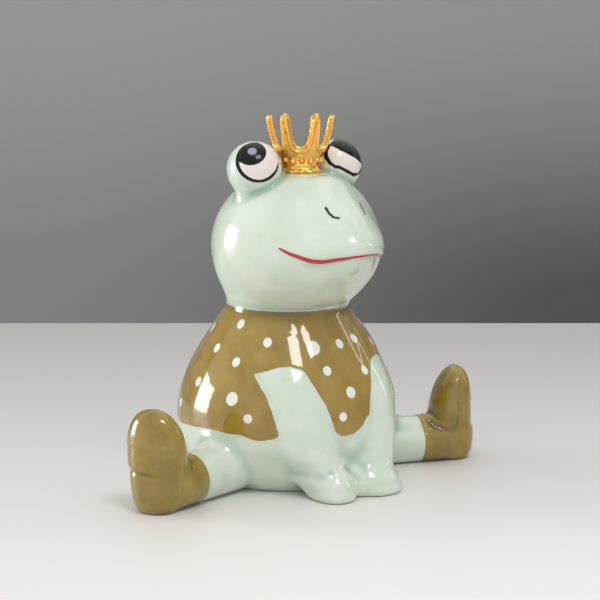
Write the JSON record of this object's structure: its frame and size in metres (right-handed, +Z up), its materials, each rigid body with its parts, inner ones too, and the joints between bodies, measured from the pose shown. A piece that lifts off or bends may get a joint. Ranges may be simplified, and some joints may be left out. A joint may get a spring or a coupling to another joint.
{
  "type": "frog figurine",
  "caption": "Sitting frog figurine in glazed ceramic with a gilt crown, a tabletop ornament that rests on its flat seat.",
  "frame": {"origin": "on the floor, under the middle of the body", "axes": "+Z up, -Y the way the frog faces, +X the frog's left"},
  "size_m": [0.1213, 0.075, 0.1085],
  "materials": {
    "skin_glaze": "glossy pale green glaze over white clay",
    "shirt_glaze": "glossy olive glaze over white clay",
    "boot_glaze": "glossy olive glaze over white clay",
    "crown_gold": "polished gilt casting",
    "crown_glue": "clear set adhesive"
  },
  "bodies": {
    "root": {"body": "shirt_glaze", "head": "skin_glaze", "left_arm": "skin_glaze", "right_arm": "skin_glaze", "left_leg": "skin_glaze", "right_leg": "skin_glaze", "left_boot": "boot_glaze", "right_boot": "boot_glaze", "crown": "crown_gold", "crown_glue": "crown_glue"}
  },
  "joints": []
}
